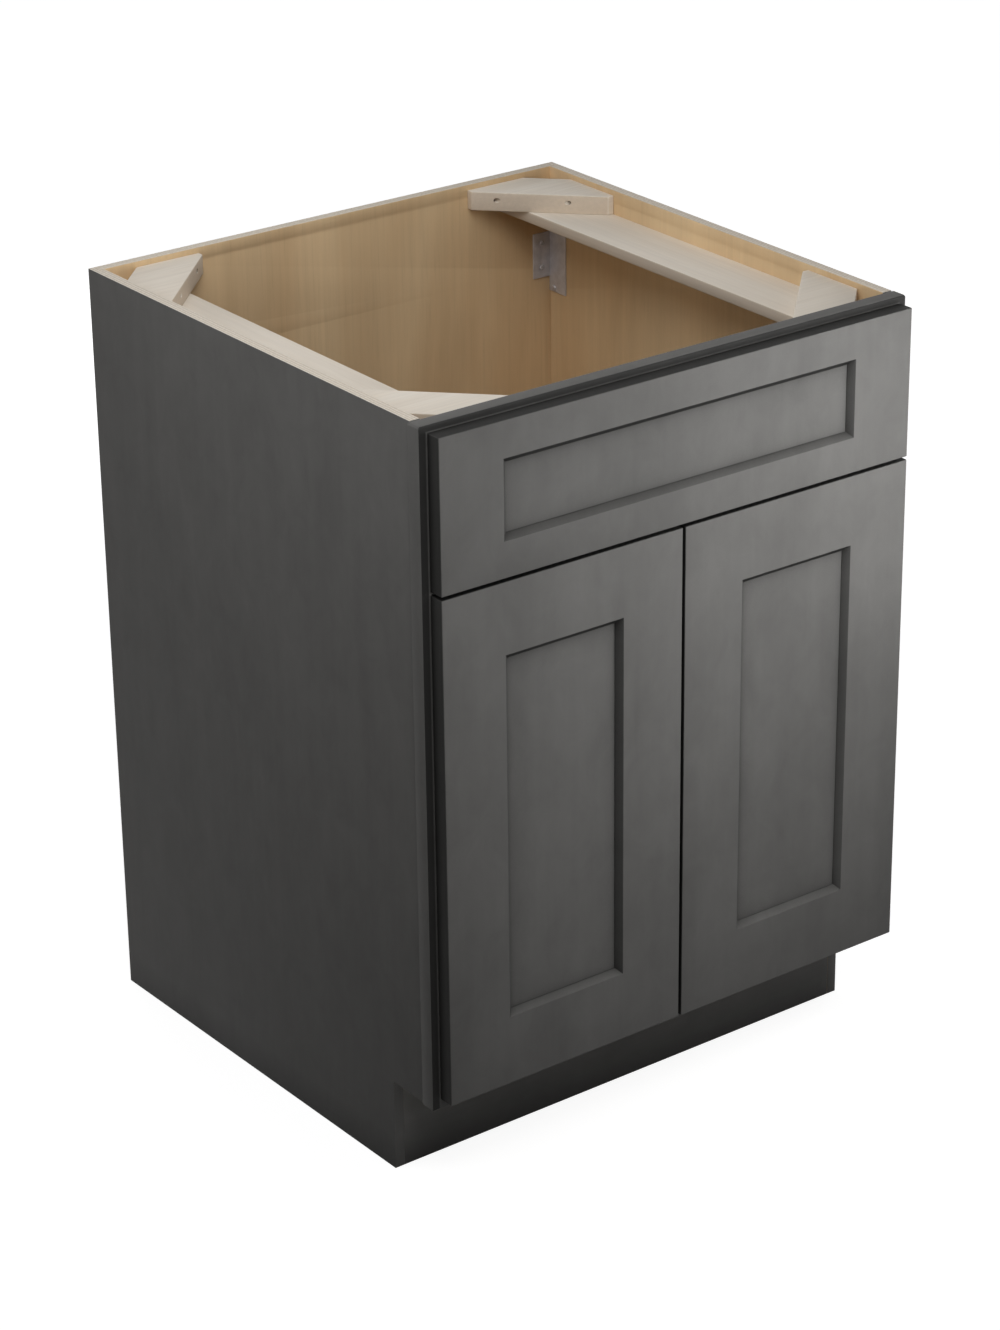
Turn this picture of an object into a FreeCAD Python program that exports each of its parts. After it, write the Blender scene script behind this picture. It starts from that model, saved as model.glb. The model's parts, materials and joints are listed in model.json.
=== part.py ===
import FreeCAD, Part
import math
import os

import Sketcher

# Vanity base cabinet without its countertop. Its front faces -Y and its origin is on the floor under
# the middle. Outside: face frame, side panels, false front and two doors. Inside: raw panels, a
# stretcher along each side, corner blocks and brackets. The doors turn on concealed cup hinges.

sizes = {
    # case
    "height": 876,
    "frameWidth": 638,
    "frameOverhang": 3,
    "depth": 610,
    "boardThickness": 12.7,
    "floorGroove": 6,
    "backRabbet": 6,
    "toeHeight": 108,
    "toeRecess": 76,
    # face frame
    "frameThickness": 19,
    "frameMember": 38,
    "tenonLength": 10,
    "tenonThickness": 6.5,
    "tenonShoulder": 6,
    # doors and false front
    "frontThickness": 19,
    "frontGap": 3.5,
    "sideReveal": 9,
    "topReveal": 7.5,
    "bottomReveal": 12,
    "falseFrontHeight": 168,
    "stileWidth": 78,
    "doorRailWidth": 80,
    "falseRailWidth": 40,
    "bevelDepth": 7,
    "panelThickness": 6,
    "panelGroove": 10,
    "panelPlay": 1.5,
    # soft bumpers behind the fronts
    "bumperHeight": 1.6,
    "bumperRadius": 4.5,
    "bumperInset": 9,
    "bumperPlay": 0.1,
    # stretchers and corner blocks
    "stretcherDrop": 28,
    "stretcherWidth": 73,
    "stretcherThickness": 12.7,
    "blockLeg": 120,
    "blockBlunt": 40,
    "blockTip": 8,
    "blockThickness": 22,
    # screws in the corner blocks, square to the panels that they enter
    "blockScrewRadius": 1.8,
    "blockScrewHeadRadius": 2.4,
    "blockScrewHeadDepth": 1.8,
    "blockScrewBite": 30,
    "blockScrewSeat": 21,
    "blockScrewDrop": 9,
    "blockScrewNear": 29,
    "blockScrewFar": 41,
    # steel corner brackets
    "bracketSteel": 1.5,
    "bracketBackWidth": 26,
    "bracketSideWidth": 31,
    "bracketHeight": 73,
    "bracketTab": 18,
    "bracketDrop": 50,
    "bracketHoleInset": 13.5,
    "bracketTabHoleInset": 9.3,
    "bracketTabHoleRise": 5,
    "bracketHolePitch": 30,
    "bracketScrewRadius": 1.7,
    "bracketScrewHeadRadius": 3.4,
    "bracketScrewHeadDepth": 1.8,
    "bracketScrewBite": 10,
    # steel clips that hold the false front to the face frame
    "clipSteel": 1.5,
    "clipWidth": 20,
    "clipPad": 24,
    "clipLip": 14,
    "clipRise": 34,
    "clipScrewRadius": 1.8,
    "clipScrewHeadRadius": 3.6,
    "clipScrewHeadDepth": 1.8,
    "clipScrewBite": 11,
    # hinge cups, sunk in the doors
    "hingeFromEnd": 90,
    "cupInset": 23,
    "cupRadius": 17.5,
    "cupWall": 0.9,
    "cupDepth": 12.5,
    "cupFloor": 1,
    "wingSteel": 1,
    "wingNear": 12,
    "wingReach": 28,
    "wingEdgeSide": 6,
    "wingDoorSide": 14.5,
    "cupScrewPitch": 45,
    "cupScrewOffset": 9.5,
    "cupScrewRadius": 1.7,
    "cupScrewHeadRadius": 3.4,
    "cupScrewHeadDepth": 1.9,
    "cupScrewBite": 12,
    # hinge arms, on the inner edges of the stiles
    "armSteel": 1.5,
    "armPlateSteel": 1.2,
    "armPlateNear": 3,
    "armPlateFar": 17,
    "armPlateLength": 44,
    "armCheekGap": 10.2,
    "armScrewPitch": 31,
    "armScrewRadius": 1.8,
    "armScrewHeadRadius": 3.4,
    "armScrewHeadDepth": 1.8,
    "armScrewBite": 14,
    # hinge pivots: across from the door's hinge edge, behind or ahead of the face frame's front
    "outerArmPinAcross": 33.1,
    "outerArmPinBehind": 10,
    "outerCupPinAcross": 10.5,
    "outerCupPinAhead": 4,
    "innerArmPinAcross": 31.7,
    "innerArmPinAhead": 10.3,
    "innerCupPinAcross": 16.3,
    "innerCupPinAhead": 7.5,
    "innerEyeAcross": 15.84,
    "innerEyeAhead": 9.07,
    # hinge pins and links
    "pinRadius": 1.1,
    "pinPlay": 0.05,
    "pinEnd": 0.6,
    "eyeRadius": 2.4,
    "outerLinkWidth": 6,
    "outerLinkSteel": 1.6,
    "outerLinkBulge": 9.5,
    "linkPlay": 0.3,
    "innerLinkSteel": 1.5,
    "innerLinkHeight": 2.4,
    "innerEyeHole": 3.05,
    "innerEyeRadius": 3.85,
    # one overrun for every cut that runs out of its piece
    "overrun": 30,
}

# most small round things are many-sided, which keeps their faces few
smallSides = 8
roundSides = 12
cupSides = 32

# places worked out from the sizes, in the cabinet's own frame
placeFormulas = {
    "frameFront": "(Sizes.bumperHeight + Sizes.frontThickness - Sizes.depth) / 2",
    "frameBack": "Places.frameFront + Sizes.frameThickness",
    "frontBack": "Places.frameFront - Sizes.bumperHeight",
    "frontFace": "Places.frontBack - Sizes.frontThickness",
    "toeFront": "Places.frameFront + Sizes.toeRecess",
    "backOuter": "Places.frameFront + Sizes.depth",
    "backInner": "Places.backOuter - Sizes.boardThickness",
    "frameHalf": "Sizes.frameWidth / 2",
    "openingHalf": "Places.frameHalf - Sizes.frameMember",
    "boxHalf": "Places.frameHalf - Sizes.frameOverhang",
    "boxInside": "Places.boxHalf - Sizes.boardThickness",
    "floorTop": "Sizes.toeHeight + Sizes.frameMember",
    "floorBottom": "Places.floorTop - Sizes.boardThickness",
    "stretcherTop": "Sizes.height - Sizes.stretcherDrop",
    "blockScrewHeight": "Places.stretcherTop + Sizes.blockThickness - Sizes.blockScrewDrop",
    "falseTop": "Sizes.height - Sizes.topReveal",
    "falseBottom": "Places.falseTop - Sizes.falseFrontHeight",
    "doorTop": "Places.falseBottom - Sizes.frontGap",
    "doorBottom": "Sizes.toeHeight + Sizes.bottomReveal",
    "frontsHalf": "Places.frameHalf - Sizes.sideReveal",
    "doorWidth": "Places.frontsHalf - Sizes.frontGap / 2",
    "topRailBottom": "Sizes.height - Sizes.frameMember",
    "middleRailBottom": "Places.falseBottom - (Sizes.frontGap + Sizes.frameMember) / 2",
    "bracketBottom": "Places.stretcherTop - Sizes.bracketDrop - Sizes.bracketHeight",
    "clipReach": "Sizes.bumperHeight + Sizes.frameThickness + Sizes.clipSteel",
    "lowerHinge": "Places.doorBottom + Sizes.hingeFromEnd",
    "upperHinge": "Places.doorTop - Sizes.hingeFromEnd",
    "stileEdge": "Sizes.frameMember - Sizes.sideReveal",
    "cupInner": "Sizes.cupRadius - Sizes.cupWall",
    "cupFlat": f"Sizes.cupRadius * cos({180 / cupSides} deg)",
    "armHalf": "Sizes.armCheekGap / 2 + Sizes.armSteel",
    "linkRun": "Sizes.outerArmPinAcross - Sizes.outerCupPinAcross",
    "linkRise": "Sizes.outerArmPinBehind + Sizes.outerCupPinAhead",
    "linkChord": "sqrt(Places.linkRun ^ 2 + Places.linkRise ^ 2)",
    "linkRadius": "(Places.linkChord ^ 2 / 4 + Sizes.outerLinkBulge ^ 2) / (2 * Sizes.outerLinkBulge)",
    "linkSag": "Places.linkRadius - Sizes.outerLinkBulge",
    "linkCentreAcross": "Sizes.outerCupPinAcross + Places.linkRun / 2"
                        " - Places.linkSag * Places.linkRise / Places.linkChord",
    "linkCentreBehind": "Places.linkRise / 2 - Sizes.outerCupPinAhead"
                        " + Places.linkSag * Places.linkRun / Places.linkChord",
    "innerLinkNear": "Sizes.outerLinkWidth / 2 + Sizes.linkPlay",
    "pinHole": "Sizes.pinRadius + Sizes.pinPlay",
}

# the way a screw points
pointing = {
    "+x": FreeCAD.Rotation(FreeCAD.Vector(0, 0, 1), FreeCAD.Vector(1, 0, 0)),
    "-x": FreeCAD.Rotation(FreeCAD.Vector(0, 0, 1), FreeCAD.Vector(-1, 0, 0)),
    "+y": FreeCAD.Rotation(FreeCAD.Vector(0, 0, 1), FreeCAD.Vector(0, 1, 0)),
    "-y": FreeCAD.Rotation(FreeCAD.Vector(0, 0, 1), FreeCAD.Vector(0, -1, 0)),
}

doc = FreeCAD.newDocument("VanityCabinet")
nodes = []


def fillSheet():
    sheet = doc.addObject("Spreadsheet::Sheet", "Sizes")
    for row, (name, size) in enumerate(sizes.items(), start=1):
        sheet.set(f"A{row}", name)
        sheet.set(f"B{row}", str(size))
        sheet.setAlias(f"B{row}", name)
    places = doc.addObject("App::VarSet", "Places")
    for name in placeFormulas:
        places.addProperty("App::PropertyFloat", name)
    for name, formula in placeFormulas.items():
        places.setExpression(name, formula)
    doc.recompute()


def keep(item, label):
    """Names a finished piece, which is then written out as one node."""
    item.Label = label
    nodes.append(item)
    return item


def put(item, across="0", along="0", up="0"):
    for axis, formula in zip("xyz", (across, along, up)):
        if formula != "0":
            item.setExpression(f"Placement.Base.{axis}", formula)


def bind(item, **formulas):
    for name, formula in formulas.items():
        item.setExpression(name, formula)
    return item


def makeSketch(body, role, outlines, circles=()):
    """Closed outlines of corner formulas, and circles of centre and radius formulas, on one plane."""
    sketch = body.newObject("Sketcher::SketchObject", f"{body.Name}_sketch")
    plane = next(item for item in body.Origin.OriginFeatures if item.Role == role)
    sketch.AttachmentSupport = [(plane, "")]
    sketch.MapMode = "FlatFace"
    for corners in outlines:
        drawOutline(sketch, corners)
    for across, up, radius in circles:
        circle = sketch.addGeometry(Part.Circle(), False)
        pinPoint(sketch, circle, 3, across, up)
        pinValue(sketch, radius, "Radius", circle, 1.0)
    return sketch


def drawOutline(sketch, corners):
    # a rough ring of lines, which the constraints pull into shape
    count = len(corners)
    turns = [2 * math.pi * step / count for step in range(count)]
    ring = [FreeCAD.Vector(math.cos(turn), math.sin(turn), 0) for turn in turns]
    lines = [sketch.addGeometry(Part.LineSegment(ring[step - 1], ring[step]), False) for step in range(count)]
    for step, line in enumerate(lines):
        sketch.addConstraint(Sketcher.Constraint("Coincident", lines[step - 1], 2, line, 1))
    for line, (across, up) in zip(lines, corners):
        pinPoint(sketch, line, 2, across, up)


def pinPoint(sketch, geometry, point, across, up):
    for kind, axis, formula in (("DistanceX", -2, across), ("DistanceY", -1, up)):
        if formula == "0":
            sketch.addConstraint(Sketcher.Constraint("PointOnObject", geometry, point, axis))
        else:
            pinValue(sketch, formula, kind, -1, 1, geometry, point, 1.0)


def pinValue(sketch, formula, *constraint):
    index = sketch.addConstraint(Sketcher.Constraint(*constraint))
    sketch.setExpression(f"Constraints[{index}]", formula)


def makeBody(name):
    return doc.addObject("PartDesign::Body", name)


def addPad(body, sketch, length, midplane=False):
    pad = body.newObject("PartDesign::Pad", f"{body.Name}_pad")
    pad.Profile = sketch
    pad.Midplane = midplane
    return bind(pad, Length=length)


def addPocket(body, sketch, length):
    """Cuts the sketch out of the body, half of the length to each side of its plane."""
    pocket = body.newObject("PartDesign::Pocket", f"{body.Name}_pocket")
    pocket.Profile = sketch
    pocket.Midplane = True
    return bind(pocket, Length=length)


def rectangle(left, bottom, right, top):
    return [(left, bottom), (right, bottom), (right, top), (left, top)]


def roundOutline(across, up, radius, sides):
    turns = [360 * step / sides for step in range(sides)]
    return [(f"{across} + {radius} * cos({turn} deg)", f"{up} + {radius} * sin({turn} deg)") for turn in turns]


def board(name, left, front, bottom, width, depth, height):
    """A plain rectangular board, placed by its left, front and bottom corner."""
    body = makeBody(name)
    addPad(body, makeSketch(body, "XY_Plane", [rectangle("0", "0", width, depth)]), height)
    put(body, left, front, bottom)
    return body


def cutBy(name, base, tools):
    """The base less the pieces that it is cut to hold."""
    group = doc.addObject("Part::Compound", f"{name}_mates")
    group.Links = tools
    cut = doc.addObject("Part::Cut", name)
    cut.Base = base
    cut.Tool = group
    return cut


def fuse(name, items):
    whole = doc.addObject("Part::MultiFuse", name)
    whole.Shapes = items
    return whole


# case

def makeFloor():
    half = "(Places.boxInside + Sizes.floorGroove)"
    return board("floor_panel", f"-{half}", "Places.frameBack", "Places.floorBottom",
                 f"2 * {half}", "Places.backInner - Places.frameBack", "Sizes.boardThickness")


def makeBack():
    half = "(Places.boxInside + Sizes.backRabbet)"
    return board("back_panel_board", f"-{half}", "Places.backInner", "0",
                 f"2 * {half}", "Sizes.boardThickness", "Sizes.height")


def makeToeBoard():
    return board("toe_kick_board", "-Places.boxInside", "Places.toeFront", "0",
                 "2 * Places.boxInside", "Sizes.boardThickness", "Places.floorBottom")


def makeSidePanel(name, left):
    body = makeBody(name)
    outline = [
        ("Places.toeFront", "0"),
        ("Places.backOuter", "0"),
        ("Places.backOuter", "Sizes.height"),
        ("Places.frameBack", "Sizes.height"),
        ("Places.frameBack", "Sizes.toeHeight"),
        ("Places.toeFront", "Sizes.toeHeight"),
    ]
    addPad(body, makeSketch(body, "YZ_Plane", [outline]), "Sizes.boardThickness")
    put(body, left)
    return body


def makeStretcher(name, left):
    return board(name, left, "Places.frameBack", "Places.stretcherTop - Sizes.stretcherThickness",
                 "Sizes.stretcherWidth", "Places.backInner - Places.frameBack", "Sizes.stretcherThickness")


# face frame

def makeFrameRail(name, bottom):
    """A rail between the stiles with a tenon at each end, its middle on the cabinet's middle."""
    body = makeBody(name)
    half = "Places.openingHalf"
    main = makeSketch(body, "YZ_Plane", [rectangle("0", "0", "Sizes.frameThickness", "Sizes.frameMember")])
    addPad(body, main, f"2 * {half}", midplane=True)
    near = "(Sizes.frameThickness - Sizes.tenonThickness) / 2"
    far = "(Sizes.frameThickness + Sizes.tenonThickness) / 2"
    top = "Sizes.frameMember - Sizes.tenonShoulder"
    tenon = makeSketch(body, "YZ_Plane", [rectangle(near, "Sizes.tenonShoulder", far, top)])
    addPad(body, tenon, f"2 * ({half} + Sizes.tenonLength)", midplane=True)
    put(body, along="Places.frameFront", up=bottom)
    return body


def makeFrame(screws):
    topRail = makeFrameRail("top_rail_tenoned", "Places.topRailBottom")
    keep(cutBy("top_rail_drilled", topRail, screws), "top_rail")
    rails = [
        topRail,
        keep(makeFrameRail("middle_rail", "Places.middleRailBottom"), "middle_rail"),
        keep(makeFrameRail("bottom_rail", "Sizes.toeHeight"), "bottom_rail"),
    ]
    for name, left in (("left_stile", "-Places.frameHalf"), ("right_stile", "Places.openingHalf")):
        blank = board(f"{name}_blank", left, "Places.frameFront", "Sizes.toeHeight",
                      "Sizes.frameMember", "Sizes.frameThickness", "Sizes.height - Sizes.toeHeight")
        keep(cutBy(f"{name}_mortised", blank, rails + screws), name)


# doors and false front

def frontProfile(flat, hand=1):
    """Section of a stile or rail: (width, depth) corners with the bevel and the panel's groove."""
    edge = f"{flat} + Sizes.bevelDepth"
    back = "Sizes.bevelDepth + Sizes.panelThickness"
    corners = [
        ("0", "0"),
        (flat, "0"),
        (edge, "Sizes.bevelDepth"),
        (f"{edge} - Sizes.panelGroove", "Sizes.bevelDepth"),
        (f"{edge} - Sizes.panelGroove", back),
        (edge, back),
        (edge, "Sizes.frontThickness"),
        ("0", "Sizes.frontThickness"),
    ]
    if hand == 1:
        return corners
    return [(width if width == "0" else f"-({width})", depth) for width, depth in corners]


def makeFrontStile(name, edge, bottom, height, hand):
    body = makeBody(name)
    addPad(body, makeSketch(body, "XY_Plane", [frontProfile("Sizes.stileWidth", hand)]), height)
    put(body, edge, "Places.frontFace", bottom)
    return body


def makeFrontRail(name, middle, edge, width, flat, hand, stiles):
    """A rail coped to the stiles: its blank reaches the groove's bottom and is cut by the stiles."""
    blank = makeBody(f"{name}_blank")
    section = [(depth, rise) for rise, depth in frontProfile(flat, hand)]
    reach = f"{width} - 2 * (Sizes.stileWidth + Sizes.bevelDepth - Sizes.panelGroove)"
    addPad(blank, makeSketch(blank, "YZ_Plane", [section]), reach, midplane=True)
    put(blank, middle, "Places.frontFace", edge)
    return cutBy(f"{name}_coped", blank, stiles)


def makeFront(name, sides, left, bottom, width, height, flat, cuts):
    """Two stiles, two rails and a flat panel held in their grooves. sides names the two stiles, and
    cuts holds what the hardware bores out of them."""
    first, second = (f"{name}_{side}_stile" for side in sides)
    stiles = [
        makeFrontStile(f"{first}_blank", left, bottom, height, 1),
        makeFrontStile(f"{second}_blank", f"{left} + {width}", bottom, height, -1),
    ]
    for stile, label in zip(stiles, (first, second)):
        keep(cutBy(f"{label}_bored", stile, cuts), label)
    middle = f"{left} + ({width}) / 2"
    top = f"{bottom} + {height}"
    for rail, edge, hand in ((f"{name}_bottom_rail", bottom, 1), (f"{name}_top_rail", top, -1)):
        keep(makeFrontRail(rail, middle, edge, width, flat, hand, stiles), rail)
    into = "Sizes.bevelDepth - Sizes.panelGroove + Sizes.panelPlay"
    beside = f"(Sizes.stileWidth + {into})"
    below = f"({flat} + {into})"
    panel = board(f"{name}_panel", f"{left} + {beside}", "Places.frontFace + Sizes.bevelDepth",
                  f"{bottom} + {below}", f"{width} - 2 * {beside}", "Sizes.panelThickness",
                  f"{height} - 2 * {below}")
    keep(panel, f"{name}_panel")


def makeFronts(doorCuts, clipScrews):
    makeFront("false_front", ("left", "right"), "-Places.frontsHalf", "Places.falseBottom",
              "2 * Places.frontsHalf", "Sizes.falseFrontHeight", "Sizes.falseRailWidth", [clipScrews])
    doorHeight = "(Places.doorTop - Places.doorBottom)"
    for name, sides, left in (
        ("left_door", ("hinge", "meeting"), "-Places.frontsHalf"),
        ("right_door", ("meeting", "hinge"), "Sizes.frontGap / 2"),
    ):
        makeFront(name, sides, left, "Places.doorBottom", "Places.doorWidth", doorHeight,
                  "Sizes.doorRailWidth", doorCuts[name.split("_")[0]])


# screws

def bar(name, spot, turn, radius, length, sides):
    """A many-sided bar that starts at spot and runs to one side."""
    item = doc.addObject("Part::Prism", name)
    item.Polygon = sides
    bind(item, Circumradius=radius, Height=length)
    put(item, *spot)
    item.Placement.Rotation = pointing[turn]
    return item


def behind(spot, turn, distance):
    """The spot moved back against the way that a screw points."""
    back = {"+": "-", "-": "+"}[turn[0]]
    return tuple(f"{place} {back} {distance}" if axis == turn[1] else place for axis, place in zip("xyz", spot))


def makeScrew(name, spot, turn, size, flush=False):
    """A screw of the sizes called size..., its head's seat at spot and its point turned to one side."""
    shank, head, top = (f"Sizes.{size}{part}" for part in ("Radius", "HeadRadius", "HeadDepth"))
    cap = bar(f"{name}_head", spot if flush else behind(spot, turn, top), turn, head, top, smallSides)
    return fuse(name, [cap, bar(f"{name}_shank", spot, turn, shank, f"Sizes.{size}Bite", smallSides)])


def group(label, items):
    """Separate like pieces kept as one node."""
    together = doc.addObject("Part::Compound", f"{label}_group")
    together.Links = items
    return keep(together, label)


# corner blocks with their screws

def makeCornerBlock(name, sideways, inwards, corner):
    """A blunt triangle in one corner. sideways and inwards are the signs of its legs."""
    body = makeBody(name)
    x, y = f"{sideways} * ", f"{inwards} * "
    outline = [
        (x + "Sizes.blockBlunt", "0"),
        (x + "Sizes.blockLeg", "0"),
        (x + "Sizes.blockLeg", y + "Sizes.blockTip"),
        (x + "Sizes.blockTip", y + "Sizes.blockLeg"),
        ("0", y + "Sizes.blockLeg"),
        ("0", y + "Sizes.blockBlunt"),
    ]
    addPad(body, makeSketch(body, "XY_Plane", [outline]), "Sizes.blockThickness")
    put(body, *corner, "Places.stretcherTop")
    return body


def makeBlockScrews(name, sideways, inwards, corner):
    """One screw square to the back or frame and one square to the side, each with its drilled bore."""
    across, along = corner
    reach = "(Sizes.blockLeg + Sizes.blockTip)"
    spots = (
        (f"{across} + {sideways} * ({reach} - Sizes.blockScrewNear)",
         f"{along} + {inwards} * Sizes.blockScrewSeat", "+y" if inwards < 0 else "-y"),
        (f"{across} + {sideways} * Sizes.blockScrewSeat",
         f"{along} + {inwards} * ({reach} - Sizes.blockScrewFar)", "+x" if sideways < 0 else "-x"),
    )
    screws, bores = [], []
    for order, (x, y, turn) in enumerate(spots):
        spot = (x, y, "Places.blockScrewHeight")
        screws.append(makeScrew(f"{name}_screw_{order}", spot, turn, "blockScrew"))
        bores.append(bar(f"{name}_bore_{order}", behind(spot, turn, "Sizes.overrun"), turn,
                         "Sizes.blockScrewHeadRadius", "Sizes.overrun", smallSides))
    return screws, bores


def makeCornerBlocks():
    screws = []
    for side, sideways, across in (("left", 1, "-Places.boxInside"), ("right", -1, "Places.boxInside")):
        for end, inwards, along in (("front", 1, "Places.frameBack"), ("back", -1, "Places.backInner")):
            label = f"corner_block_{end}_{side}"
            block = makeCornerBlock(f"{label}_blank", sideways, inwards, (across, along))
            pair, bores = makeBlockScrews(label, sideways, inwards, (across, along))
            keep(cutBy(label, block, pair + bores), label)
            screws += pair
    return group("corner_block_screws", screws)


# steel corner brackets

def makeBracket(name, sideways, corner):
    """An angle against the back and one side, its side flange longer at the foot."""
    body = makeBody(name)
    steel = "Sizes.bracketSteel"
    x = f"{sideways} * "
    angle = [
        ("0", "0"),
        (x + "Sizes.bracketBackWidth", "0"),
        (x + "Sizes.bracketBackWidth", f"-{steel}"),
        (x + steel, f"-{steel}"),
        (x + steel, "-Sizes.bracketSideWidth"),
        ("0", "-Sizes.bracketSideWidth"),
    ]
    addPad(body, makeSketch(body, "XY_Plane", [angle]), "Sizes.bracketHeight")
    notch = rectangle(x + steel, "0", x + "(Sizes.bracketBackWidth + Sizes.overrun)", "Sizes.bracketTab")
    addPocket(body, makeSketch(body, "XZ_Plane", [notch]), "2 * Sizes.overrun")
    put(body, *corner, "Places.bracketBottom")
    return body


def makeBrackets():
    screws = []
    blanks = []
    steel = "Sizes.bracketSteel"
    for side, sideways, across in (("left", 1, "-Places.boxInside"), ("right", -1, "Places.boxInside")):
        name = f"corner_bracket_{side}"
        blanks.append((name, makeBracket(f"{name}_blank", sideways, (across, "Places.backInner"))))
        hole = f"{across} + {sideways} * Sizes.bracketHoleInset"
        middle = "Places.bracketBottom + (Sizes.bracketHeight + Sizes.bracketTab) / 2"
        for end in (-1, 1):
            spot = (hole, f"Places.backInner - {steel}", f"{middle} + {end} * Sizes.bracketHolePitch / 2")
            screws.append(makeScrew(f"{name}_screw", spot, "+y", "bracketScrew"))
        spot = (f"{across} + {sideways} * {steel}", "Places.backInner - Sizes.bracketTabHoleInset",
                "Places.bracketBottom + Sizes.bracketTabHoleRise")
        screws.append(makeScrew(f"{name}_screw", spot, "+x" if sideways < 0 else "-x", "bracketScrew"))
    for name, blank in blanks:
        keep(cutBy(name, blank, screws), name)
    return group("bracket_screws", screws)


# clips and pads of the false front

def makeClips():
    """Z-shaped clips from the back of the false front round the stiles, and their screws."""
    clips, screws = [], []
    steel = "Sizes.clipSteel"
    middle = "(Places.topRailBottom + Places.middleRailBottom + Sizes.frameMember) / 2"
    for hand, left in ((1, "-Places.openingHalf"), (-1, "Places.openingHalf")):
        x = f"{hand} * "
        section = [
            ("0", "0"),
            (x + "Sizes.clipPad", "0"),
            (x + "Sizes.clipPad", steel),
            (x + steel, steel),
            (x + steel, "Places.clipReach"),
            (x + "-Sizes.clipLip", "Places.clipReach"),
            (x + "-Sizes.clipLip", f"Places.clipReach - {steel}"),
            ("0", f"Places.clipReach - {steel}"),
        ]
        for end in (-1, 1):
            height = f"{middle} + {end} * Sizes.clipRise"
            clip = makeBody("false_front_clip")
            addPad(clip, makeSketch(clip, "XY_Plane", [section]), "Sizes.clipWidth", midplane=True)
            put(clip, left, "Places.frontBack", height)
            clips.append(clip)
            spot = (f"{left} + {hand} * (Sizes.clipPad + {steel}) / 2", f"Places.frontBack + {steel}", height)
            screws.append(makeScrew("clip_screw", spot, "-y", "clipScrew"))
    together = doc.addObject("Part::Compound", "clip_blanks")
    together.Links = clips
    keep(cutBy("clips_drilled", together, screws), "false_front_clips")
    return group("false_front_clip_screws", screws)


def makePads():
    inset = "Sizes.bumperInset"
    for name, low, high, height, places in (
        ("false_front_pads", "Places.falseBottom", "Places.falseTop", "Sizes.bumperHeight",
         (f"-Places.frontsHalf + {inset}", f"Places.frontsHalf - {inset}")),
        ("left_door_bumpers", "Places.doorBottom", "Places.doorTop",
         "(Sizes.bumperHeight - Sizes.bumperPlay)", (f"-Sizes.frontGap / 2 - {inset}",)),
        ("right_door_bumpers", "Places.doorBottom", "Places.doorTop",
         "(Sizes.bumperHeight - Sizes.bumperPlay)", (f"Sizes.frontGap / 2 + {inset}",)),
    ):
        spots = [(x, "Places.frontBack", z) for x in places for z in (f"{low} + {inset}", f"{high} - {inset}")]
        group(name, [bar(f"{name}_pad", spot, "+y", "Sizes.bumperRadius", height, roundSides) for spot in spots])


# hinges. Across is counted from the door's hinge edge, along from the face frame's front.

def hingeX(hand, across):
    return f"{hand} * ({across} - Places.frontsHalf)"


def upright(name, hand, across, along, middle, radius, height, sides=0):
    """A bar along Z with its middle at one height, truly round where sides is 0."""
    item = doc.addObject("Part::Prism" if sides else "Part::Cylinder", name)
    if sides:
        item.Polygon = sides
        bind(item, Circumradius=radius, Height=height)
    else:
        bind(item, Radius=radius, Height=height)
    put(item, hingeX(hand, across), f"Places.frameFront + {along}", f"{middle} - ({height}) / 2")
    return item


def makeCup(name, hand, middle):
    """A cup with two flat wings, and the bar that hollows it. Its mouth is flush with the door's back."""
    spot = (hingeX(hand, "Sizes.cupInset"), "Places.frontBack", middle)
    wall = bar(f"{name}_wall", spot, "-y", "Sizes.cupRadius", "Sizes.cupDepth", cupSides)
    wings = makeBody(f"{name}_wings")
    near, far = f"{hand} * -Sizes.wingEdgeSide", f"{hand} * Sizes.wingDoorSide"
    plates = [rectangle(near, "Sizes.wingNear", far, "Sizes.wingReach"),
              rectangle(near, "-Sizes.wingReach", far, "-Sizes.wingNear")]
    addPad(wings, makeSketch(wings, "XZ_Plane", plates), "Sizes.wingSteel").Reversed = True
    put(wings, *spot)
    hollow = bar(f"{name}_hollow", behind(spot, "-y", "Sizes.wingSteel"), "-y", "Places.cupInner",
                 "Sizes.wingSteel + Sizes.cupDepth - Sizes.cupFloor", cupSides)
    return fuse(name, [wall, wings]), wall, hollow


def makeCupPins(name, hand, middle):
    """The outer link's pin from wall to wall, and a stub from each wall for the inner link."""
    half = "sqrt(Places.cupFlat ^ 2 - (Sizes.cupInset + Sizes.pinRadius - {0}) ^ 2)"
    reach = half.format("Sizes.outerCupPinAcross")
    pins = [upright(f"{name}_outer", hand, "Sizes.outerCupPinAcross", "-Sizes.outerCupPinAhead", middle,
                    "Sizes.pinRadius", f"2 * {reach}", smallSides)]
    reach = half.format("Sizes.innerCupPinAcross")
    stub = f"({reach} - Places.innerLinkNear)"
    for end in (-1, 1):
        centre = f"{middle} + {end} * ({reach} + Places.innerLinkNear) / 2"
        pins.append(upright(f"{name}_inner", hand, "Sizes.innerCupPinAcross", "-Sizes.innerCupPinAhead",
                            centre, "Sizes.pinRadius", stub, smallSides))
    return pins


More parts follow.
